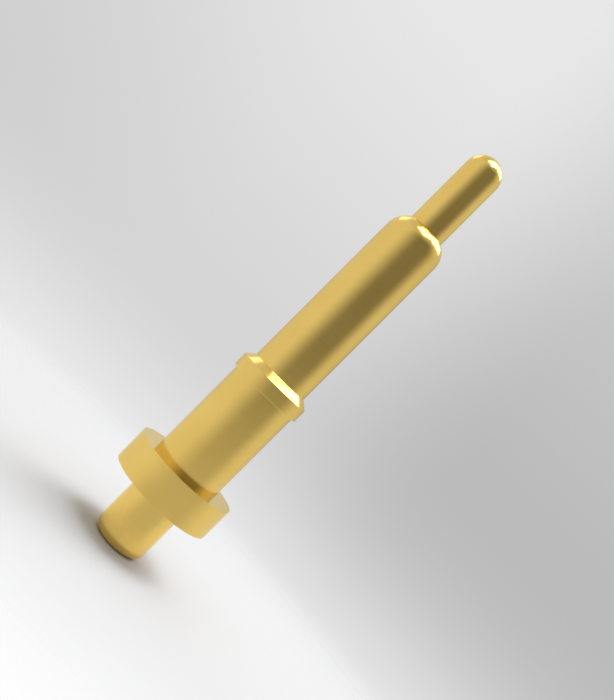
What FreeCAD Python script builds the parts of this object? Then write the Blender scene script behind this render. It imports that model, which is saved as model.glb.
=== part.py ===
import FreeCAD, Part
import math
import os
import Sketcher
from FreeCAD import Placement, Rotation, Vector

# A sprung contact pin: a turned barrel with a solder tail, flange and press ring,
# a plunger that slides out of its rolled nose, and the spring between them.
# Millimetres and degrees. The pin's axis is +Z, from the tail towards the tip, and the
# origin is the centre of the flange's seat, where the tail goes through the board.

DRIVING_SIZES = [
    ("tail_diameter", 1.35, "solder tail"),
    ("tail_length", 1.48, "end of the tail to the flange's seat"),
    ("tail_chamfer", 0.10, "lead-in at the tail's end"),
    ("flange_diameter", 2.70, "flange that sits on the board"),
    ("flange_thickness", 0.82, "seat to top face"),
    ("flange_edge_break", 0.015, "chamfer of both flange edges"),
    ("body_diameter", 1.75, "thick body above the flange"),
    ("body_length", 2.49, "flange top to press ring"),
    ("ring_diameter", 1.90, "press ring that bites into a housing"),
    ("ring_land", 0.33, "straight length of the press ring"),
    ("ring_lead_angle", 50.0, "lead-in cone, measured from the axis"),
    ("tube_diameter", 1.50, "slender tube that guides the plunger"),
    ("tube_length", 4.20, "straight length of the tube, cone to nose"),
    ("tube_wall", 0.18, "wall of the tube, carried on through the rolled nose"),
    ("nose_radius", 0.54, "outer radius of the rolled nose"),
    ("floor_height", 3.00, "flange's seat to the bore's floor"),
    ("pilot_diameter", 0.70, "pilot drill that goes deeper than the floor"),
    ("pilot_depth", 0.10, "straight depth of the pilot hole"),
    ("drill_point_angle", 118.0, "included angle of the drill point"),
    ("plunger_diameter", 0.94, "contact rod"),
    ("full_stroke", 1.80, "travel of the plunger"),
    ("tip_stand", 0.47, "what still stands out of the nose at full stroke"),
    ("collar_length", 2.10, "bearing collar, shoulder to lowest point"),
    ("bias_angle", 25.0, "slope of the oblique cut under the collar"),
    ("bias_flat", 0.30, "width of the flat that the oblique cut leaves for the spring"),
    ("bearing_clearance", 0.02, "collar to bore, on the radius"),
    ("nose_clearance", 0.02, "contact rod to rolled nose, on the radius"),
    ("spring_wire", 0.14, "wire of the spring"),
    ("spring_turns", 7.0, "all turns, closed ends included"),
    ("spring_closed_turns", 1.0, "turns at each end that lie against their neighbour"),
    ("spring_easing_turns", 0.75, "turns over which the pitch then opens up"),
    ("spring_end_gap", 0.005, "air between an end turn and its neighbour"),
    ("spring_clearance", 0.03, "spring to bore, on the radius"),
]

# Places along the axis, from the tail's end up; the flange's seat is at height 0
TAIL_END = "-Sizes.tail_length"
FLANGE_TOP = "Sizes.flange_thickness"
RING_BOTTOM = f"{FLANGE_TOP} + Sizes.body_length"
RING_TOP = f"{RING_BOTTOM} + Sizes.ring_land"
LEAD_STEP = "(Sizes.ring_diameter - Sizes.tube_diameter) / 2"
LEAD_TOP = f"{RING_TOP} + {LEAD_STEP} / tan(Sizes.ring_lead_angle)"
NOSE_START = f"{LEAD_TOP} + Sizes.tube_length"
BORE_FLOOR = "Sizes.floor_height"
PILOT_FLOOR = f"{BORE_FLOOR} - Sizes.pilot_depth"
PILOT_POINT = f"{PILOT_FLOOR} - Sizes.pilot_diameter / 2 / tan(Sizes.drill_point_angle / 2)"

# Radii round the axis
TUBE_RADIUS = "Sizes.tube_diameter / 2"
BORE_RADIUS = f"({TUBE_RADIUS} - Sizes.tube_wall)"
ROD_RADIUS = "Sizes.plunger_diameter / 2"
NOSE_HOLE_RADIUS = f"({ROD_RADIUS} + Sizes.nose_clearance)"
COLLAR_RADIUS = f"({BORE_RADIUS} - Sizes.bearing_clearance)"
COIL_RADIUS = f"({BORE_RADIUS} - Sizes.spring_clearance - Sizes.spring_wire / 2)"

# The nose is rolled round a circle, and the collar's shoulder has the same centre
ROLL_CENTRE = f"({TUBE_RADIUS} - Sizes.nose_radius)"
ROLL_INSIDE = "(Sizes.nose_radius - Sizes.tube_wall)"
SHOULDER_RADIUS = f"({ROLL_INSIDE} - Sizes.bearing_clearance)"
NOSE_TOP = f"{NOSE_START} + sqrt(Sizes.nose_radius ^ 2 - ({NOSE_HOLE_RADIUS} - {ROLL_CENTRE}) ^ 2)"
NOSE_LIP = f"{NOSE_START} + sqrt({ROLL_INSIDE} ^ 2 - ({NOSE_HOLE_RADIUS} - {ROLL_CENTRE}) ^ 2)"

# The shoulder stands one bearing clearance above the start of the roll, against the nose
SHOULDER_START = f"{NOSE_START} + Sizes.bearing_clearance"
SHOULDER_TOP = f"{SHOULDER_START} + sqrt({SHOULDER_RADIUS} ^ 2 - ({ROD_RADIUS} - {ROLL_CENTRE}) ^ 2)"
COLLAR_BOTTOM = f"{SHOULDER_START} - Sizes.collar_length"
TIP_END = f"{NOSE_TOP} + Sizes.full_stroke + Sizes.tip_stand"
TIP_START = f"{TIP_END} - {ROD_RADIUS}"

PATH_POINTS_PER_TURN = 6

# Where the two arcs of the wire's round section meet, counted from the side that faces the bore
SECTION_SEAMS = (math.radians(90), math.radians(300))

document = FreeCAD.newDocument("PogoPin")


def add_sizes():
    """Write the driving sizes into the sheet, one row each."""
    sheet = document.addObject("Spreadsheet::Sheet", "Sizes")
    for row, (name, value, meaning) in enumerate(DRIVING_SIZES, start=1):
        sheet.set(f"A{row}", str(value))
        sheet.setAlias(f"A{row}", name)
        sheet.set(f"B{row}", meaning)
    document.recompute()
    return sheet


sizes = add_sizes()


def size(expression):
    """Work out one expression of the sheet's sizes."""
    return float(sizes.evalExpression(expression))


def origin_plane(body, role):
    for feature in body.Origin.OriginFeatures:
        if feature.Role == role:
            return feature
    raise ValueError(role)


def place_corner(sketch, segment, end, corner):
    """Tie one end of a segment to its radius and height in the sheet."""
    radius, height = corner
    origin_point = (-1, 1)
    for kind, place in (("DistanceX", radius), ("DistanceY", height)):
        value = size(place)
        if value == 0:
            axis = -2 if kind == "DistanceX" else -1
            sketch.addConstraint(Sketcher.Constraint("PointOnObject", segment, end, axis))
            continue
        index = sketch.addConstraint(Sketcher.Constraint(kind, *origin_point, segment, end, value))
        sketch.setExpression(f"Constraints[{index}]", place)


def arc_between(start, end, radius):
    """Arc from start to end that bulges to the right of the line between them."""
    middle = (start + end) / 2
    half_chord = (end - start) / 2
    reach = math.sqrt(radius ** 2 - half_chord.Length ** 2)
    across = Vector(-half_chord.y, half_chord.x, 0).normalize()
    centre = middle + across * reach
    crown = centre - across * radius
    return Part.Arc(start, crown, end)


def add_profile(body, name, corners, arcs):
    """Closed half profile in the XZ plane. Corners are (radius, height) expressions.
    arcs gives the radius of each round segment by the number of the corner it leaves."""
    sketch = body.newObject("Sketcher::SketchObject", name)
    sketch.AttachmentSupport = [(origin_plane(body, "XZ_Plane"), "")]
    sketch.MapMode = "FlatFace"
    points = [Vector(size(radius), size(height), 0) for radius, height in corners]
    count = len(points)
    ends = []
    for number, start in enumerate(points):
        finish = points[(number + 1) % count]
        if number in arcs:
            segment = sketch.addGeometry(arc_between(start, finish, size(arcs[number])))
        else:
            segment = sketch.addGeometry(Part.LineSegment(start, finish))
        turned_round = sketch.Geometry[segment].StartPoint.distanceToPoint(start) > 1e-6
        ends.append((segment, 2, 1) if turned_round else (segment, 1, 2))
    for number, (segment, first, last) in enumerate(ends):
        following, following_first, _ = ends[(number + 1) % count]
        sketch.addConstraint(Sketcher.Constraint("Coincident", segment, last, following, following_first))
        place_corner(sketch, segment, first, corners[number])
        if number in arcs:
            index = sketch.addConstraint(Sketcher.Constraint("Radius", segment, size(arcs[number])))
            sketch.setExpression(f"Constraints[{index}]", arcs[number])
    return sketch


def turn(body, kind, name, sketch):
    """Revolution or Groove of a half profile, one full turn round the pin's axis."""
    feature = body.newObject(kind, name)
    feature.Profile = sketch
    feature.ReferenceAxis = (sketch, ["V_Axis"])
    feature.Angle = 360
    document.recompute()
    return feature


def rims(shape, radius, height):
    """Names of the circular edges of this radius at this height."""
    found = []
    for number, edge in enumerate(shape.Edges, start=1):
        curve = edge.Curve
        round_edge = isinstance(curve, Part.Circle)
        if round_edge and abs(curve.Radius - radius) < 1e-6 and abs(curve.Center.z - height) < 1e-6:
            found.append(f"Edge{number}")
    return found


def break_rims(body, name, base, places, width):
    """Chamfer the rims at the given (radius, height) places by a width from the sheet."""
    edges = [edge for radius, height in places for edge in rims(base.Shape, size(radius), size(height))]
    chamfer = body.newObject("PartDesign::Chamfer", name)
    chamfer.Base = (base, edges)
    chamfer.setExpression("Size", width)
    document.recompute()
    return chamfer


def make_barrel():
    """Turned from one bar, bored from the nose end, the nose then rolled inwards."""
    body = document.addObject("PartDesign::Body", "barrel")
    tail = "Sizes.tail_diameter / 2"
    flange = "Sizes.flange_diameter / 2"
    thick = "Sizes.body_diameter / 2"
    ring = "Sizes.ring_diameter / 2"
    outline = [
        ("0", TAIL_END),
        (tail, TAIL_END),
        (tail, "0"),
        (flange, "0"),
        (flange, FLANGE_TOP),
        (thick, FLANGE_TOP),
        (thick, RING_BOTTOM),
        (ring, RING_BOTTOM),
        (ring, RING_TOP),
        (TUBE_RADIUS, LEAD_TOP),
        (TUBE_RADIUS, NOSE_START),
        (NOSE_HOLE_RADIUS, NOSE_TOP),
        ("0", NOSE_TOP),
    ]
    turned = turn(body, "PartDesign::Revolution", "TurnedOutside",
                  add_profile(body, "OutsideProfile", outline, {10: "Sizes.nose_radius"}))
    bore = [
        ("0", PILOT_POINT),
        ("Sizes.pilot_diameter / 2", PILOT_FLOOR),
        ("Sizes.pilot_diameter / 2", BORE_FLOOR),
        (BORE_RADIUS, BORE_FLOOR),
        (BORE_RADIUS, NOSE_START),
        (NOSE_HOLE_RADIUS, NOSE_LIP),
        (NOSE_HOLE_RADIUS, NOSE_TOP),
        ("0", NOSE_TOP),
    ]
    bored = turn(body, "PartDesign::Groove", "BlindBore",
                 add_profile(body, "BoreProfile", bore, {4: ROLL_INSIDE}))
    if bored.Shape.Volume >= turned.Shape.Volume:
        raise ValueError("the bore removed nothing")
    tail_end = break_rims(body, "TailEdge", bored, [(tail, TAIL_END)], "Sizes.tail_chamfer")
    break_rims(body, "FlangeEdges", tail_end,
               [(flange, "0"), (flange, FLANGE_TOP)], "Sizes.flange_edge_break")
    return body


def make_plunger():
    """Contact rod with a ball end, and a bearing collar cut obliquely where the spring pushes."""
    body = document.addObject("PartDesign::Body", "plunger")
    outline = [
        ("0", COLLAR_BOTTOM),
        (COLLAR_RADIUS, COLLAR_BOTTOM),
        (COLLAR_RADIUS, SHOULDER_START),
        (ROD_RADIUS, SHOULDER_TOP),
        (ROD_RADIUS, TIP_START),
        ("0", TIP_END),
    ]
    turned = turn(body, "PartDesign::Revolution", "TurnedRod",
                  add_profile(body, "RodProfile", outline, {2: SHOULDER_RADIUS, 4: ROD_RADIUS}))
    flat_edge = f"Sizes.bias_flat - {COLLAR_RADIUS}"
    cut_width = f"(2 * {COLLAR_RADIUS} - Sizes.bias_flat)"
    cut_side = [
        (flat_edge, COLLAR_BOTTOM),
        (COLLAR_RADIUS, COLLAR_BOTTOM),
        (COLLAR_RADIUS, f"{COLLAR_BOTTOM} + {cut_width} * tan(Sizes.bias_angle)"),
    ]
    bias_cut = body.newObject("PartDesign::Pocket", "BiasCut")
    bias_cut.Profile = add_profile(body, "BiasProfile", cut_side, {})
    bias_cut.Midplane = True
    bias_cut.setExpression("Length", f"4 * {COLLAR_RADIUS}")
    document.recompute()
    if bias_cut.Shape.Volume >= turned.Shape.Volume:
        raise ValueError("the oblique cut removed nothing")
    return body


def rise(turns, length):
    """Height of the wire's centre above the spring's lower end after so many turns.
    The end turns lie closed, then the pitch opens evenly up to the working pitch."""
    total = size("Sizes.spring_turns")
    closed = size("Sizes.spring_closed_turns")
    easing = size("Sizes.spring_easing_turns")
    closed_pitch = size("Sizes.spring_wire + Sizes.spring_end_gap")
    opening = (length - closed_pitch * total) / (total - 2 * closed - easing)
    if turns > total / 2:
        return length - rise(total - turns, length)
    if turns <= closed:
        return closed_pitch * turns
    if turns <= closed + easing:
        return closed_pitch * turns + opening * (turns - closed) ** 2 / (2 * easing)
    return closed_pitch * turns + opening * (turns - closed - easing / 2)


def add_spring_path():
    """Centre line of the wire: one smooth curve through points of a helix whose pitch
    closes up at both ends, so that the last turns lie against their neighbours."""
    low = size(BORE_FLOOR)
    length = size(COLLAR_BOTTOM) - low
    total = size("Sizes.spring_turns")
    radius = size(COIL_RADIUS)
    steps = round(total * PATH_POINTS_PER_TURN)
    points = []
    for step in range(steps + 1):
        turns = total * step / steps
        angle = 2 * math.pi * turns
        points.append(Vector(radius * math.cos(angle), radius * math.sin(angle), low + rise(turns, length)))
    curve = Part.BSplineCurve()
    curve.interpolate(points)
    path = document.addObject("Part::Feature", "SpringPath")
    path.Shape = Part.Wire([curve.toShape()])
    return path


def add_wire_section(start):
    """Round section of the wire at the start of its path, drawn as a long arc and a short one."""
    sketch = document.addObject("Sketcher::SketchObject", "WireSection")
    facing_along_wire = Rotation(Vector(0, 0, 1), Vector(0, 1, 0))
    sketch.Placement = Placement(start, facing_along_wire)
    radius = size("Sizes.spring_wire / 2")
    circle = Part.Circle(Vector(0, 0, 0), Vector(0, 0, 1), radius)
    first_seam, second_seam = SECTION_SEAMS
    long_arc = sketch.addGeometry(Part.ArcOfCircle(circle, first_seam, second_seam))
    short_arc = sketch.addGeometry(Part.ArcOfCircle(circle, second_seam, first_seam + 2 * math.pi))
    first, last, centre = 1, 2, 3
    sketch.addConstraint(Sketcher.Constraint("Coincident", long_arc, centre, -1, 1))
    sketch.addConstraint(Sketcher.Constraint("Coincident", short_arc, centre, -1, 1))
    sketch.addConstraint(Sketcher.Constraint("Coincident", long_arc, last, short_arc, first))
    sketch.addConstraint(Sketcher.Constraint("Coincident", short_arc, last, long_arc, first))
    sketch.addConstraint(Sketcher.Constraint("PointOnObject", long_arc, first, -2))
    index = sketch.addConstraint(Sketcher.Constraint("Radius", long_arc, radius))
    sketch.setExpression(f"Constraints[{index}]", "Sizes.spring_wire / 2")
    return sketch


def make_spring():
    """Wire swept along its path, both ends ground flat where they bear."""
    path = add_spring_path()
    section = add_wire_section(path.Shape.Vertexes[0].Point)
    wound = document.addObject("Part::Sweep", "WoundWire")
    wound.Sections = [section]
    wound.Spine = (path, ["Edge1"])
    wound.Solid = True
    wound.Frenet = True
    between_seats = document.addObject("Part::Cylinder", "BetweenSeats")
    between_seats.setExpression("Radius", BORE_RADIUS)
    between_seats.setExpression("Height", f"{COLLAR_BOTTOM} - ({BORE_FLOOR})")
    between_seats.setExpression("Placement.Base.z", BORE_FLOOR)
    ground = document.addObject("Part::Common", "spring")
    ground.Base = wound
    ground.Tool = between_seats
    document.recompute()
    return ground


def check_objects(nodes):
    """Every object has to be sound before anything is written."""
    for part in document.Objects:
        if "Invalid" in part.State or "Error" in part.State:
            raise RuntimeError(f"{part.Name} failed")
    for node in nodes:
        if node.Shape.isNull() or not node.Shape.isValid() or len(node.Shape.Solids) != 1:
            raise RuntimeError(f"{node.Label} is not one sound solid")


def export(nodes):
    os.makedirs("parts", exist_ok=True)
    for node in nodes:
        node.Shape.exportStep(f"parts/{node.Label}.step")
        box = node.Shape.BoundBox
        print(f"{node.Label}: {node.Shape.Volume:.4f} mm3, z {box.ZMin:.3f} to {box.ZMax:.3f}")


pieces = [make_barrel(), make_plunger(), make_spring()]
document.recompute()
check_objects(pieces)
export(pieces)
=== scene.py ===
# %% [markdown]
# # A sprung contact pin, dressed for its picture
#
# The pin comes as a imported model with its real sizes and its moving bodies. This lesson gives it
# smooth turned surfaces, a satin gold finish and a small studio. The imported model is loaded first,
# because every new piece is placed by it and moves with one of its bodies.

import math

import bmesh
import bpy
from mathutils import Matrix, Vector


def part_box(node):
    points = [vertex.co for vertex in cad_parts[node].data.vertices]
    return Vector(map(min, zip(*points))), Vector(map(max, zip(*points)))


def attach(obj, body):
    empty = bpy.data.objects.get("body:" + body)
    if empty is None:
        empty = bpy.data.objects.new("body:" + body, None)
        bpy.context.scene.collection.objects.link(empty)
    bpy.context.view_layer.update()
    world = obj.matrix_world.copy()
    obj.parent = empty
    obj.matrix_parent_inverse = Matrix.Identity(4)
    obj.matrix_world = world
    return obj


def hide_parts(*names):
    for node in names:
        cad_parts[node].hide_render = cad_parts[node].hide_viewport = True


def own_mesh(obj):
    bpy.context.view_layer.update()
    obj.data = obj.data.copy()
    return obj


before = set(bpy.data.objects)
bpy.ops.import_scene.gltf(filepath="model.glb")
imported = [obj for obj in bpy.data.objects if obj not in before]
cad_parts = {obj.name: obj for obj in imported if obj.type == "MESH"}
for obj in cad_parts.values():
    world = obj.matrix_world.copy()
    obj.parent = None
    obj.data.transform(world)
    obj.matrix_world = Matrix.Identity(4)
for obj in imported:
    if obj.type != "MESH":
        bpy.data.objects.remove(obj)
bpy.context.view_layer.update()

# %% [markdown]
# ## Sizes
#
# The pin is drawn in millimetres and shrunk to metres at the very end, which keeps the numbers
# readable. Heights count from the flange's seat on the board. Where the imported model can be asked
# for a size, as for the tip's height, it is asked, and the rest are the turner's own sizes. Its
# boxes are lists of two corners, the low one first.

# %% Sizes of the pin, in millimetres
MM = 0.001
barrel_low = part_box("barrel")[0]
plunger_low, plunger_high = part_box("plunger")
spring_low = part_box("spring")[0]

TAIL_END = barrel_low[2] / MM
TAIL_RADIUS = 0.675
TAIL_ROUND = 0.22
RIM_ROUND = 0.0015
FLANGE_RADIUS = 1.35
FLANGE_TOP = 0.82
BODY_RADIUS = 0.875
RING_BOTTOM = 3.31
RING_TOP = 3.64
RING_RADIUS = 0.95
TUBE_RADIUS = 0.75
LEAD_ANGLE = math.radians(50)
LEAD_TOP = RING_TOP + (RING_RADIUS - TUBE_RADIUS) / math.tan(LEAD_ANGLE)
TUBE_LENGTH = 4.20
NOSE_START = LEAD_TOP + TUBE_LENGTH
NOSE_RADIUS = 0.54
WALL = 0.18
BORE_RADIUS = TUBE_RADIUS - WALL
BORE_FLOOR = spring_low[2] / MM
PILOT_RADIUS = 0.35
PILOT_DEPTH = 0.10
DRILL_HALF_ANGLE = math.radians(59)
DRILL_POINT = PILOT_RADIUS / math.tan(DRILL_HALF_ANGLE)

ROD_RADIUS = 0.47
RUNNING_CLEARANCE = 0.02
COLLAR_RADIUS = BORE_RADIUS - RUNNING_CLEARANCE
COLLAR_BOTTOM = plunger_low[2] / MM
TIP_END = plunger_high[2] / MM
BIAS_ANGLE = math.radians(25)
BIAS_FLAT = 0.30

ROLL_CENTRE = TUBE_RADIUS - NOSE_RADIUS
ROLL_INSIDE = NOSE_RADIUS - WALL
NOSE_HOLE = ROD_RADIUS + RUNNING_CLEARANCE
print(f"pin height {TIP_END - TAIL_END:.3f} mm, nose starts at {NOSE_START:.3f} mm")

# %% [markdown]
# ## Drawing an outline and turning it
#
# The real pin is cut on a lathe: a tool follows an outline while the bar spins. Blender can copy
# that. One vertex is pulled along the outline, straight runs by extruding it and round runs by
# spinning it about the centre of the round. The finished line is then spun once about the pin's
# axis. A stack of cylinders would be quicker to type, but it would leave hidden walls inside.
#
# Smooth shading blends the light over each whole face, so a long wall that ends in a rounded rim
# would look bent all the way along. Every long run therefore gets a stop close to both of its ends:
# the blending stays in the narrow strip by the rim and the wall between the stops looks straight.

# %% Outline helpers
STOP_INSET = 0.015
SHORTEST_WITH_STOPS = 4 * STOP_INSET


def start_at(mesh, radius, height):
    """Put down the first vertex of an outline."""
    return mesh.verts.new((radius, 0, height))


def line_to(mesh, vertex, radius, height):
    """Pull the outline's last vertex straight to a new place, with a stop close to both ends."""
    start = vertex.co.copy()
    end = Vector((radius, 0, height))
    inset = (end - start).normalized() * STOP_INSET
    stops = [start + inset, end - inset] if (end - start).length > SHORTEST_WITH_STOPS else []
    for place in [*stops, end]:
        vertex = bmesh.ops.extrude_vert_indiv(mesh, verts=[vertex])["verts"][0]
        vertex.co = place
    return vertex


def round_by(mesh, vertex, centre_radius, centre_height, degrees, steps):
    """Swing the outline's last vertex about a centre; positive turns from +Z towards +X."""
    swung = bmesh.ops.spin(mesh, geom=[vertex], cent=(centre_radius, 0, centre_height), axis=(0, 1, 0),
                           angle=math.radians(degrees), steps=steps)
    return swung["geom_last"][0]


# %% Lathe helpers
LATHE_STEPS = 192
MERGE_WITHIN = 0.0005
FOUND_WITHIN = 0.002
SHARP_ANGLE = math.radians(35)


def turn_on_lathe(mesh):
    """Spin the whole outline once round the axis and close the seam and the poles."""
    bmesh.ops.spin(mesh, geom=mesh.verts[:] + mesh.edges[:], cent=(0, 0, 0), axis=(0, 0, 1),
                   angle=2 * math.pi, steps=LATHE_STEPS, use_merge=True)
    bmesh.ops.remove_doubles(mesh, verts=mesh.verts[:], dist=MERGE_WITHIN)
    bmesh.ops.recalc_face_normals(mesh, faces=mesh.faces[:])


def lies_at(vertex, radius, height):
    """Whether a vertex is on the circle of this radius round the axis, at this height."""
    outwards = math.hypot(vertex.co.x, vertex.co.y)
    return abs(outwards - radius) < FOUND_WITHIN and abs(vertex.co.z - height) < FOUND_WITHIN


def round_rims(mesh, places, width, segments=4):
    """Round the circular edges at the given (radius, height) places."""
    rims = []
    for edge in mesh.edges:
        for radius, height in places:
            if all(lies_at(vertex, radius, height) for vertex in edge.verts):
                rims.append(edge)
    bmesh.ops.bevel(mesh, geom=rims, offset=width, segments=segments, profile=0.5,
                    affect="EDGES", material=-1)
    return len(rims)


def finish_piece(mesh, name, body, node):
    """Shrink to metres, make the object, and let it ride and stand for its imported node."""
    bmesh.ops.scale(mesh, vec=(MM, MM, MM), verts=mesh.verts[:])
    data = bpy.data.meshes.new(name)
    mesh.to_mesh(data)
    mesh.free()
    data.shade_smooth()
    data.set_sharp_from_angle(angle=SHARP_ANGLE)
    piece = bpy.data.objects.new(name, data)
    bpy.context.scene.collection.objects.link(piece)
    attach(piece, body)
    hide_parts(node)
    print(f"{name}: {len(data.polygons)} faces")
    return piece


# %% [markdown]
# ## The barrel
#
# The barrel is one turned piece: solder tail, flange, thick body, press ring with its lead-in cone,
# and the slender tube, whose end is rolled inwards to a rounded nose. The outline starts in the
# middle of the tail's end, runs up the outside, turns over the nose and comes back down the bore to
# the drill point, so one spin makes the wall, the rolled lip and the blind hole together.

# %% Barrel outline
TAIL_STEPS = 8
NOSE_STEPS = 16
ROLL_STEPS = 10
barrel_mesh = bmesh.new()
point = start_at(barrel_mesh, 0, TAIL_END)
point = line_to(barrel_mesh, point, TAIL_RADIUS - TAIL_ROUND, TAIL_END)
point = round_by(barrel_mesh, point, TAIL_RADIUS - TAIL_ROUND, TAIL_END + TAIL_ROUND, -90, TAIL_STEPS)
point = line_to(barrel_mesh, point, TAIL_RADIUS, 0)
point = line_to(barrel_mesh, point, FLANGE_RADIUS, 0)
point = line_to(barrel_mesh, point, FLANGE_RADIUS, FLANGE_TOP)
point = line_to(barrel_mesh, point, BODY_RADIUS, FLANGE_TOP)
point = line_to(barrel_mesh, point, BODY_RADIUS, RING_BOTTOM)
point = line_to(barrel_mesh, point, RING_RADIUS, RING_BOTTOM)
point = line_to(barrel_mesh, point, RING_RADIUS, RING_TOP)
point = line_to(barrel_mesh, point, TUBE_RADIUS, LEAD_TOP)
point = line_to(barrel_mesh, point, TUBE_RADIUS, NOSE_START)
outer_roll = math.degrees(math.acos((NOSE_HOLE - ROLL_CENTRE) / NOSE_RADIUS))
inner_roll = math.degrees(math.acos((NOSE_HOLE - ROLL_CENTRE) / ROLL_INSIDE))
point = round_by(barrel_mesh, point, ROLL_CENTRE, NOSE_START, -outer_roll, NOSE_STEPS)
nose_top = point.co.z
nose_lip = NOSE_START + ROLL_INSIDE * math.sin(math.radians(inner_roll))
point = line_to(barrel_mesh, point, NOSE_HOLE, nose_lip)
point = round_by(barrel_mesh, point, ROLL_CENTRE, NOSE_START, inner_roll, ROLL_STEPS)
point = line_to(barrel_mesh, point, BORE_RADIUS, BORE_FLOOR)
point = line_to(barrel_mesh, point, PILOT_RADIUS, BORE_FLOOR)
point = line_to(barrel_mesh, point, PILOT_RADIUS, BORE_FLOOR - PILOT_DEPTH)
point = line_to(barrel_mesh, point, 0, BORE_FLOOR - PILOT_DEPTH - DRILL_POINT)
print(f"outline of {len(barrel_mesh.verts)} points, nose top at {nose_top:.3f} mm")

# %% [markdown]
# Turned rims are never knife sharp: the tool and the plating leave a tiny radius. After the spin,
# each outside rim gets its own small bevel. The inside corners stay sharp, because there the tool's
# point leaves a clean meeting line, and the wall mirrors the flange right down into that corner.

# %% Turn the barrel and round its rims
turn_on_lathe(barrel_mesh)
outer_rims = [
    (FLANGE_RADIUS, 0),
    (FLANGE_RADIUS, FLANGE_TOP),
    (RING_RADIUS, RING_BOTTOM),
    (RING_RADIUS, RING_TOP),
    (NOSE_HOLE, nose_top),
]
rounded = round_rims(barrel_mesh, outer_rims, RIM_ROUND)
print(f"{rounded / LATHE_STEPS:.0f} rims rounded")
barrel = finish_piece(barrel_mesh, "barrel_turned", "barrel", "barrel")

# %% [markdown]
# ## The plunger
#
# The plunger is the part that moves: a thin rod with a ball end, and a wider collar that the rolled
# nose keeps inside. Its foot is cut at a slant, so that the spring pushes it a little sideways onto
# the bore and the current always finds a way through. The slant is one cut with a plane, as a saw
# would make it, and the opening it leaves is closed again.

# %% Plunger outline, turned
BALL_STEPS = 32
plunger_mesh = bmesh.new()
shoulder_start = NOSE_START + RUNNING_CLEARANCE
shoulder_radius = ROLL_INSIDE - RUNNING_CLEARANCE
shoulder_turn = math.degrees(math.acos((ROD_RADIUS - ROLL_CENTRE) / shoulder_radius))
point = start_at(plunger_mesh, 0, COLLAR_BOTTOM)
point = line_to(plunger_mesh, point, COLLAR_RADIUS, COLLAR_BOTTOM)
point = line_to(plunger_mesh, point, COLLAR_RADIUS, shoulder_start)
point = round_by(plunger_mesh, point, ROLL_CENTRE, shoulder_start, -shoulder_turn, ROLL_STEPS)
point = line_to(plunger_mesh, point, ROD_RADIUS, TIP_END - ROD_RADIUS)
point = round_by(plunger_mesh, point, 0, TIP_END - ROD_RADIUS, -90, BALL_STEPS)
turn_on_lathe(plunger_mesh)
print(f"plunger from {COLLAR_BOTTOM:.3f} to {TIP_END:.3f} mm")

# %% Slanted foot


def everything(mesh):
    """All that a mesh is made of, as a cut wants it."""
    return mesh.verts[:] + mesh.edges[:] + mesh.faces[:]


def open_edges(mesh):
    """The edges with a face on one side only, where the skin is open."""
    return [edge for edge in mesh.edges if edge.is_boundary]


cut_normal = Vector((math.sin(BIAS_ANGLE), 0, -math.cos(BIAS_ANGLE)))
cut_through = Vector((BIAS_FLAT - COLLAR_RADIUS, 0, COLLAR_BOTTOM))
bmesh.ops.bisect_plane(plunger_mesh, geom=everything(plunger_mesh), plane_co=cut_through,
                       plane_no=cut_normal, clear_outer=True)
round_the_cut = open_edges(plunger_mesh)
bmesh.ops.edgeloop_fill(plunger_mesh, edges=round_the_cut)
bmesh.ops.recalc_face_normals(plunger_mesh, faces=plunger_mesh.faces[:])
print(f"slant cut closed over {len(round_the_cut)} edges, {len(open_edges(plunger_mesh))} left open")
plunger = finish_piece(plunger_mesh, "plunger_turned", "plunger", "plunger")

# %% [markdown]
# ## The spring
#
# The spring is one length of round wire. Its first and last turns lie against their neighbours, so
# that it stands square. The turns between climb evenly, and a short stretch eases from one to the
# other. A ring of vertices, the wire's section, is spun a few degrees at a time, and each small spin
# also lifts it by what the coil climbs there. A Screw modifier would be shorter, but its pitch can't
# change along the coil. Both ends are then ground flat.

# %% Spring wire
WIRE = 0.14
WIRE_SIDES = 20
SPRING_CLEARANCE = 0.03
COIL_RADIUS = BORE_RADIUS - SPRING_CLEARANCE - WIRE / 2
TURNS = 7.0
CLOSED_TURNS = 1.0
EASING_TURNS = 0.75
TURN_GAP = 0.005
CLOSED_PITCH = WIRE + TURN_GAP
SPRING_LENGTH = COLLAR_BOTTOM - BORE_FLOOR
OPENING = (SPRING_LENGTH - CLOSED_PITCH * TURNS) / (TURNS - 2 * CLOSED_TURNS - EASING_TURNS)
STEPS_PER_TURN = 40


def climb(turns):
    """Height of the wire's centre after so many turns: closed at both ends, even in between."""
    if turns > TURNS / 2:
        return SPRING_LENGTH - climb(TURNS - turns)
    easing = min(max(turns - CLOSED_TURNS, 0), EASING_TURNS)
    opened = max(turns - CLOSED_TURNS - EASING_TURNS, 0)
    return CLOSED_PITCH * turns + OPENING * (easing ** 2 / (2 * EASING_TURNS) + opened)


spring_mesh = bmesh.new()
at_start = Matrix.Translation((COIL_RADIUS, 0, BORE_FLOOR)) @ Matrix.Rotation(math.radians(90), 4, "X")
bmesh.ops.create_circle(spring_mesh, segments=WIRE_SIDES, radius=WIRE / 2, cap_ends=False, matrix=at_start)
ring = spring_mesh.edges[:]
for step in range(round(TURNS * STEPS_PER_TURN)):
    lift = climb((step + 1) / STEPS_PER_TURN) - climb(step / STEPS_PER_TURN)
    swung = bmesh.ops.spin(spring_mesh, geom=ring, cent=(0, 0, 0), axis=(0, 0, 1), dvec=(0, 0, lift),
                           angle=2 * math.pi / STEPS_PER_TURN, steps=1)
    ring = [part for part in swung["geom_last"] if isinstance(part, bmesh.types.BMEdge)]
print(f"wire wound {TURNS} turns over {SPRING_LENGTH:.3f} mm, pitch {CLOSED_PITCH + OPENING:.3f} mm")

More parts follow.
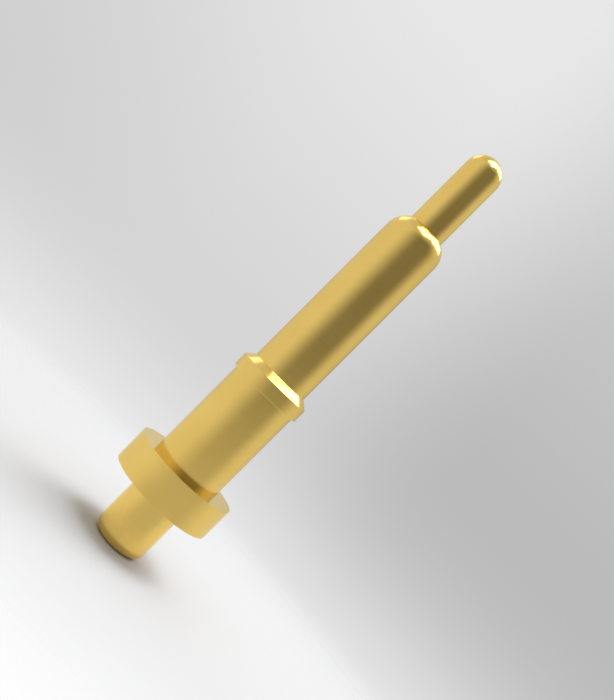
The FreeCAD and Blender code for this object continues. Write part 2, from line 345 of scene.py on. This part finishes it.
# %% Grind both ends of the spring flat
bmesh.ops.holes_fill(spring_mesh, edges=open_edges(spring_mesh), sides=0)
for height, outwards in ((BORE_FLOOR, -1), (COLLAR_BOTTOM, 1)):
    bmesh.ops.bisect_plane(spring_mesh, geom=everything(spring_mesh), plane_co=(0, 0, height),
                           plane_no=(0, 0, outwards), clear_outer=True)
    bmesh.ops.holes_fill(spring_mesh, edges=open_edges(spring_mesh), sides=0)
bmesh.ops.recalc_face_normals(spring_mesh, faces=spring_mesh.faces[:])
print(f"spring ends ground, {len(open_edges(spring_mesh))} edges left open")
spring = finish_piece(spring_mesh, "spring_wound", "spring", "spring")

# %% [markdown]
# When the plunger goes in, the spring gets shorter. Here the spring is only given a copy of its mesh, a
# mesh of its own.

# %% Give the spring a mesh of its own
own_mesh(spring)

# %% [markdown]
# ## Gold plating
#
# The brass is plated with a thin layer of gold. It isn't a mirror: the plating has a fine satin
# grain, and the lathe's feed marks show through it as faint rings round the axis. The colour is the
# metal's own, so it goes on the metallic shader's base colour, with soft cloudy changes of tone. A
# faint specular tint keeps it yellow where it is seen at a grazing angle. Rings come from a noise
# that is looked up by distance from the axis and by height alone.
#
# Nodes are added by one short helper, so that a line here reads like one box in the node editor.

# %% Shader helpers
NOISE_LOW = 0.3
NOISE_HIGH = 0.7


def add(tree, kind, settings=None, **inputs):
    """Add a node, set its options, and give or link its inputs by name, or as _0 by number."""
    node = tree.nodes.new(kind)
    for name, value in (settings or {}).items():
        setattr(node, name, value)
    for name, value in inputs.items():
        socket = node.inputs[int(name[1:])] if name[0] == "_" else node.inputs[name.replace("_", " ")]
        if isinstance(value, bpy.types.NodeSocket):
            tree.links.new(value, socket)
        else:
            socket.default_value = value
    return node


def in_millimetres(tree):
    """The piece's own coordinates, counted in millimetres."""
    where = add(tree, "ShaderNodeTexCoord").outputs["Object"]
    return add(tree, "ShaderNodeMapping", Vector=where, Scale=(1 / MM, 1 / MM, 1 / MM)).outputs["Vector"]


def round_the_axis(tree, where, rings_per_mm):
    """A coordinate that only changes outwards and upwards, so a pattern on it makes rings."""
    apart = add(tree, "ShaderNodeSeparateXYZ", Vector=where)
    flat = add(tree, "ShaderNodeCombineXYZ", X=apart.outputs["X"], Y=apart.outputs["Y"]).outputs["Vector"]
    outwards = add(tree, "ShaderNodeVectorMath", {"operation": "LENGTH"}, _0=flat).outputs["Value"]
    ringed = add(tree, "ShaderNodeCombineXYZ", X=outwards, Z=apart.outputs["Z"]).outputs["Vector"]
    scale = (rings_per_mm, rings_per_mm, rings_per_mm)
    return add(tree, "ShaderNodeMapping", Vector=ringed, Scale=scale).outputs["Vector"]


def spread(tree, value, low, high):
    """Move a noise's middle range onto the range from low to high."""
    return add(tree, "ShaderNodeMapRange", Value=value, From_Min=NOISE_LOW, From_Max=NOISE_HIGH,
               To_Min=low, To_Max=high).outputs["Result"]


def blend(tree, share, first, second):
    """A colour between two, the first at share 0 and the second at share 1."""
    return add(tree, "ShaderNodeMix", {"data_type": "RGBA"}, _0=share, _6=first, _7=second).outputs[2]


def new_material(name):
    """A material with an empty node tree, and that tree."""
    material = bpy.data.materials.new(name)
    material.use_nodes = True
    material.node_tree.nodes.clear()
    return material, material.node_tree


# %% Gold finish
GOLD_DEEP = (0.82, 0.565, 0.145, 1)
GOLD_PALE = (0.865, 0.61, 0.172, 1)
GLANCING_TINT = (1, 0.98, 0.84, 1)
RINGS_PER_MM = 18
GRAINS_PER_MM = 55
CLOUDS_PER_MM = 0.9
RING_ROUGHNESS = 0.02
GRAIN_ROUGHNESS = 0.025
RING_HEIGHT = 0.002 * MM
GRAIN_HEIGHT = 0.001 * MM
GRAIN_STRENGTH = 0.10


def gold_finish(name, roughness, ring_strength):
    """Plated metal: cloudy tone, rings and grain in its roughness, and both as very low bumps."""
    material, tree = new_material(name)
    where = in_millimetres(tree)
    rings = add(tree, "ShaderNodeTexNoise", Vector=round_the_axis(tree, where, RINGS_PER_MM),
                Scale=1.0, Detail=3.0, Roughness=0.6).outputs["Fac"]
    grain = add(tree, "ShaderNodeTexNoise", Vector=where, Scale=GRAINS_PER_MM, Detail=2.0).outputs["Fac"]
    clouds = add(tree, "ShaderNodeTexNoise", Vector=where, Scale=CLOUDS_PER_MM, Detail=3.0).outputs["Fac"]
    tone = blend(tree, spread(tree, clouds, 0, 1), GOLD_DEEP, GOLD_PALE)
    ring_part = spread(tree, rings, -RING_ROUGHNESS, RING_ROUGHNESS)
    grain_part = spread(tree, grain, roughness - GRAIN_ROUGHNESS, roughness + GRAIN_ROUGHNESS)
    satin = add(tree, "ShaderNodeMath", {"operation": "ADD"}, _0=ring_part, _1=grain_part).outputs["Value"]
    grain_bumps = add(tree, "ShaderNodeBump", Strength=GRAIN_STRENGTH, Distance=GRAIN_HEIGHT,
                      Height=grain).outputs["Normal"]
    bumps = add(tree, "ShaderNodeBump", Strength=ring_strength, Distance=RING_HEIGHT, Height=rings,
                Normal=grain_bumps).outputs["Normal"]
    shader = add(tree, "ShaderNodeBsdfPrincipled", Base_Color=tone, Metallic=1.0, Roughness=satin,
                 Specular_Tint=GLANCING_TINT, Normal=bumps)
    add(tree, "ShaderNodeOutputMaterial", Surface=shader.outputs["BSDF"])
    print(f"{name}: roughness about {roughness}")
    return material


barrel.data.materials.append(gold_finish("gold_satin", roughness=0.165, ring_strength=0.05))
plunger.data.materials.append(gold_finish("gold_smooth", roughness=0.15, ring_strength=0.03))

# %% [markdown]
# ## Spring steel
#
# Drawn wire is bright grey with long fine scratches along the wire. The wire runs round the pin's
# axis, so the same ring coordinate gives scratches that follow it closely enough.

# %% Steel finish
STEEL_DARK = (0.46, 0.46, 0.45, 1)
STEEL_PALE = (0.62, 0.62, 0.60, 1)
STEEL_SMOOTHEST = 0.24
STEEL_ROUGHEST = 0.36
SCRATCHES_PER_MM = 90
SCRATCH_STRENGTH = 0.3
SCRATCH_DEPTH = 0.002 * MM


def steel_finish(name):
    """Drawn wire: one scratch pattern changes its tone, its roughness and its bumps together."""
    material, tree = new_material(name)
    along_the_wire = round_the_axis(tree, in_millimetres(tree), SCRATCHES_PER_MM)
    scratches = add(tree, "ShaderNodeTexNoise", Vector=along_the_wire, Scale=1.0, Detail=2.0).outputs["Fac"]
    tone = blend(tree, spread(tree, scratches, 0, 1), STEEL_DARK, STEEL_PALE)
    bumps = add(tree, "ShaderNodeBump", Strength=SCRATCH_STRENGTH, Distance=SCRATCH_DEPTH,
                Height=scratches).outputs["Normal"]
    shader = add(tree, "ShaderNodeBsdfPrincipled", Base_Color=tone, Metallic=1.0,
                 Roughness=spread(tree, scratches, STEEL_SMOOTHEST, STEEL_ROUGHEST), Normal=bumps)
    add(tree, "ShaderNodeOutputMaterial", Surface=shader.outputs["BSDF"])
    return material


spring.data.materials.append(steel_finish("drawn_steel"))
print("materials:", [piece.data.materials[0].name for piece in (barrel, plunger, spring)])

# %% [markdown]
# ## Floor
#
# The pin stands on a pale table that has no visible edge. A square sheet carries the soft shadow
# close to the pin and fades out further away, where the backdrop takes over in the same tone.

# %% Floor sheet
FLOOR_HALF = 16.0
floor_mesh = bmesh.new()
bmesh.ops.create_grid(floor_mesh, x_segments=1, y_segments=1, size=FLOOR_HALF,
                      matrix=Matrix.Translation((0, 0, TAIL_END)))
bmesh.ops.scale(floor_mesh, vec=(MM, MM, MM), verts=floor_mesh.verts[:])
floor_data = bpy.data.meshes.new("floor")
floor_mesh.to_mesh(floor_data)
floor_mesh.free()
floor = bpy.data.objects.new("floor", floor_data)
bpy.context.scene.collection.objects.link(floor)
print(f"floor at {TAIL_END:.3f} mm")

# %% [markdown]
# The sheet fades by distance, from a matte grey to fully clear. The middle of the fade lies a
# little behind the pin, and the fade is quicker from front to back than sideways. In the metal's
# mirror image it comes sooner still, so that the tail shows the room, and only the tail's lowest
# edge shows the shadow. A light path node tells the shader which rays those are.

# %% Pale table that fades out
TABLE_GREY = (0.67, 0.673, 0.683, 1)
FADE_START = 4.0
FADE_END = 15.0
FADE_QUICKER = 1.3
FADE_BACK = 1.5
FADE_IN_MIRROR = 2.0


def ease(tree, value, low, high):
    """A soft step: 0 where the value is at low, 1 where it is at high."""
    return add(tree, "ShaderNodeMapRange", {"interpolation_type": "SMOOTHSTEP"}, Value=value,
               From_Min=low, From_Max=high).outputs["Result"]


material, tree = new_material("pale_table")
table_place = add(tree, "ShaderNodeMapping", Vector=in_millimetres(tree), Scale=(1, FADE_QUICKER, 1),
                  Location=(0, -FADE_BACK * FADE_QUICKER, 0)).outputs["Vector"]
distance = add(tree, "ShaderNodeVectorMath", {"operation": "LENGTH"}, _0=table_place).outputs["Value"]
mirrored = add(tree, "ShaderNodeLightPath").outputs["Is Glossy Ray"]
nearer = add(tree, "ShaderNodeMath", {"operation": "MULTIPLY_ADD"}, _0=mirrored,
             _1=FADE_IN_MIRROR - 1, _2=1.0).outputs["Value"]
distance = add(tree, "ShaderNodeMath", {"operation": "MULTIPLY"}, _0=distance, _1=nearer).outputs["Value"]
matte = add(tree, "ShaderNodeBsdfDiffuse", Color=TABLE_GREY).outputs["BSDF"]
clear = add(tree, "ShaderNodeBsdfTransparent").outputs["BSDF"]
faded = add(tree, "ShaderNodeMixShader", _0=ease(tree, distance, FADE_START, FADE_END),
            _1=matte, _2=clear).outputs["Shader"]
add(tree, "ShaderNodeOutputMaterial", Surface=faded)
floor.data.materials.append(material)
print(f"table fades from {FADE_START} to {FADE_END} mm")

# %% [markdown]
# ## Backdrop and room
#
# Polished metal shows the room, so the room matters as much as the lamps. The world shader paints
# three things, each worked out from the direction alone. What the camera sees behind the pin is a
# pale grey sweep, lighter at the left and near the table. What the metal sees is a pale room with
# one dim stretch behind the camera, and that stretch gives the long dark band on every cylinder.
# What the table gets, beside the lamps' light, is a soft glow from overhead, which makes the
# flange's shadow gather evenly round the tail.
#
# The sweep is a grey ramp over the slope of the view. Three of them stand side by side and melt
# into each other: one at the far left, one on the lit side and one on the shaded side.

# %% Sweep behind the pin
STEEPEST = 0.5
NEARLY_ZERO = 0.001
FAR_LEFT_MELT = (-0.48, -0.15)
SHADED_MELT = (-0.05, 0.21)

world = bpy.data.worlds.new("studio")
bpy.context.scene.world = world
world.use_nodes = True
tree = world.node_tree
tree.nodes.clear()


def linear(level):
    """Light value of a screen grey from 0 to 255."""
    share = level / 255
    return ((share + 0.055) / 1.055) ** 2.4 if share > 0.04 else share / 12.92


def sweep(name, slope, stops):
    """A grey ramp over the slope of the view. Each stop is a slope, up is positive, and its screen grey."""
    place = add(tree, "ShaderNodeMapRange", Value=slope, From_Min=-STEEPEST, From_Max=STEEPEST)
    ramp = add(tree, "ShaderNodeValToRGB", {"label": name}, Fac=place.outputs["Result"])
    ramp.color_ramp.interpolation = "B_SPLINE"
    elements = ramp.color_ramp.elements
    while len(elements) < len(stops):
        elements.new(0.5)
    for element, (at, level) in zip(elements, stops):
        element.position = (at + STEEPEST) / (2 * STEEPEST)
        element.color = (linear(level), linear(level), linear(level), 1)
    return ramp.outputs["Color"]


def maths(operation, first, second=0.0):
    """One maths node in the world's tree."""
    return add(tree, "ShaderNodeMath", {"operation": operation}, _0=first, _1=second).outputs["Value"]


def melt(value, limits, first, second):
    """A colour that eases from the first to the second while the value goes from limit to limit."""
    return blend(tree, ease(tree, value, *limits), first, second)


direction = add(tree, "ShaderNodeTexCoord").outputs["Generated"]
parts = add(tree, "ShaderNodeSeparateXYZ", Vector=direction)
across, along, upward = (parts.outputs[name] for name in "XYZ")
level_squared = maths("ADD", maths("MULTIPLY", across, across), maths("MULTIPLY", along, along))
slope = maths("DIVIDE", upward, maths("MAXIMUM", maths("SQRT", level_squared), NEARLY_ZERO))

far_left = sweep("far left", slope, [
    (-0.46, 255), (-0.38, 249), (-0.26, 240), (-0.17, 226),
    (-0.10, 212), (-0.02, 204), (0.18, 214), (0.36, 226),
])
lit_side = sweep("lit side", slope, [
    (-0.46, 255), (-0.38, 249), (-0.26, 242), (-0.17, 228),
    (-0.10, 215), (-0.02, 211), (0.18, 224), (0.36, 232),
])
shaded_side = sweep("shaded side", slope, [
    (-0.46, 255), (-0.34, 247), (-0.24, 241), (-0.15, 214),
    (-0.08, 193), (-0.01, 186), (0.12, 188), (0.34, 205),
])
backdrop = melt(across, FAR_LEFT_MELT, far_left, lit_side)
backdrop = melt(across, SHADED_MELT, backdrop, shaded_side)
print(f"{len(tree.nodes)} world nodes so far, slopes up to {STEEPEST}")

# %% [markdown]
# The dim stretch is a sector of the room, told by its compass direction from the pin. It fades in
# and out over a wide angle, because the room's light is soft. Towards the table it grows paler and
# reaches further to the left, which is why the band is wide and faint on the tail and deep on the
# plunger.

# %% Room that the metal sees
DIM_LEFT_SIDE = (math.radians(-61), math.radians(10))
DIM_RIGHT_SIDE = (math.radians(50), math.radians(104))
DIM_HIGH = 0.24
DIM_LOW = 0.66
DIM_DEEPENS = (-0.25, 0.05)
LEFT_WALL = 0.83
RIGHT_WALL = 0.75
LOW_WALL = 0.92
WALL_DEEPENS = (-0.35, 0.0)
LOW_WIDENING = math.radians(45)
WIDENS = (-0.15, -0.32)
CEILING = 0.67
CEILING_MELT = (0.68, 0.98)
BACKDROP_MELT = (0.5, 1.0)


def plain(level):
    """A grey of this light value."""
    return (level, level, level, 1)


compass = maths("ARCTAN2", across, maths("MULTIPLY", along, -1.0))
dim = melt(upward, DIM_DEEPENS, plain(DIM_LOW), plain(DIM_HIGH))
left_wall = melt(upward, WALL_DEEPENS, plain(LOW_WALL), plain(LEFT_WALL))
right_wall = melt(upward, WALL_DEEPENS, plain(LOW_WALL), plain(RIGHT_WALL))
widened = maths("ADD", compass, maths("MULTIPLY", ease(tree, upward, *WIDENS), LOW_WIDENING))
walls = melt(widened, DIM_LEFT_SIDE, left_wall, dim)
walls = melt(compass, DIM_RIGHT_SIDE, walls, right_wall)
walls = melt(upward, CEILING_MELT, walls, plain(CEILING))
room = melt(along, BACKDROP_MELT, walls, backdrop)
dim_width = math.degrees(DIM_RIGHT_SIDE[0] - DIM_LEFT_SIDE[1])
print(f"dim stretch {dim_width:.0f} degrees wide at level {DIM_HIGH}")

# %% [markdown]
# The light path node sorts the rays. The camera's own rays, and those that pass on through the
# clear part of the table, get the backdrop. Rays that leave the matte table get the glow from
# overhead, and all others come off the metal and get the room.

# %% Each ray gets its own surroundings
TABLE_LIGHT = 1.0
TABLE_LIGHT_MELT = (0.2, 1.0)
path = add(tree, "ShaderNodeLightPath")
seen = maths("MAXIMUM", path.outputs["Is Camera Ray"], path.outputs["Is Transmission Ray"])
seen_or_mirrored = blend(tree, seen, room, backdrop)
glow = melt(upward, TABLE_LIGHT_MELT, plain(0.0), plain(TABLE_LIGHT))
around = blend(tree, path.outputs["Is Diffuse Ray"], seen_or_mirrored, glow)
light = add(tree, "ShaderNodeBackground", Color=around, Strength=1.0)
add(tree, "ShaderNodeOutputWorld", Surface=light.outputs["Background"])
print(f"{len(tree.nodes)} world nodes in all")

# %% [markdown]
# ## Lamps
#
# One long softbox hangs over the pin, running from just in front of it to the right and the back,
# and a weaker one stands low at its left and behind. Their mirror images are the white and yellow
# patches on the cone, the nose and the ball end, so each lamp is placed by where its patch has to
# lie: across and back from the pin, counted in heights above it. The long box is brighter at its
# near end, so it is made of two lamps end to end. It also throws the soft shadow at the tail.

# %% Overhead softbox, in two lamps
PIN_MIDDLE = Vector((0, 0, 5.0)) * MM
LAMP_HEIGHT = 60 * MM
OVERHEAD_TURN = Matrix.Rotation(math.radians(52), 3, "Z")


def softbox(name, place, facing_turn, length, width, level):
    """A rectangular lamp, placed from the pin's middle. Its face looks white at level 1."""
    data = bpy.data.lights.new(name, "AREA")
    data.shape = "RECTANGLE"
    data.size, data.size_y = length, width
    data.energy = level * math.pi * length * width
    lamp = bpy.data.objects.new(name, data)
    bpy.context.scene.collection.objects.link(lamp)
    lamp.location = PIN_MIDDLE + place
    lamp.rotation_euler = facing_turn
    lamp.visible_camera = False
    print(f"{name}: {length / MM:.0f} by {width / MM:.0f} mm, energy {data.energy:.4f}")


def overhead(name, left, right, front, back, level):
    """A level lamp over the pin, told by its four edges in lamp heights, all turned by one angle."""
    middle = OVERHEAD_TURN @ Vector(((left + right) / 2, (front + back) / 2, 1))
    softbox(name, middle * LAMP_HEIGHT, OVERHEAD_TURN.to_euler(),
            (right - left) * LAMP_HEIGHT, (back - front) * LAMP_HEIGHT, level)


overhead("near_softbox", left=-0.31, right=0.30, front=-0.31, back=0.20, level=5.0)
overhead("far_softbox", left=0.30, right=1.42, front=-0.45, back=0.18, level=4.0)

# %% Low lamp at the left and behind
LOW_LAMP_SIDE = Vector((-0.55, 0.57, 0.61)).normalized()
LOW_LAMP_LENGTH = 0.45 * LAMP_HEIGHT
LOW_LAMP_WIDTH = 0.30 * LAMP_HEIGHT
LOW_LAMP_LEVEL = 0.85
softbox("left_softbox", LOW_LAMP_SIDE * LAMP_HEIGHT, LOW_LAMP_SIDE.to_track_quat("Z", "Y").to_euler(),
        LOW_LAMP_LENGTH, LOW_LAMP_WIDTH, LOW_LAMP_LEVEL)

# %% [markdown]
# ## Camera
#
# The picture shows the standing pin leaning by 45 degrees, because the camera is rolled, not the
# pin. It stands level with the pin's middle and close to it, so the flange is seen a little from
# above and the nose a little from below.

# %% Camera
AIM = Vector((0, 0, 4.666)) * MM
CAMERA_DISTANCE = 21.4 * MM
CAMERA_ROLL = math.radians(45)
LENS = 48.43
SENSOR = 36
NEAREST_SEEN = 1.0 * MM

backwards = Vector((0, -1, 0))
level_right = Vector((1, 0, 0))
level_up = Vector((0, 0, 1))
image_right = level_right * math.cos(CAMERA_ROLL) + level_up * math.sin(CAMERA_ROLL)
image_up = level_up * math.cos(CAMERA_ROLL) - level_right * math.sin(CAMERA_ROLL)
turned = Matrix((image_right, image_up, backwards)).transposed().to_4x4()

camera_data = bpy.data.cameras.new("camera")
camera_data.lens = LENS
camera_data.sensor_width = SENSOR
camera_data.clip_start = NEAREST_SEEN
camera = bpy.data.objects.new("camera", camera_data)
bpy.context.scene.collection.objects.link(camera)
camera.matrix_world = Matrix.Translation(AIM + backwards * CAMERA_DISTANCE) @ turned
bpy.context.scene.camera = camera
bpy.context.scene.view_settings.view_transform = "Standard"
print("camera at", [round(value / MM, 2) for value in camera.location])
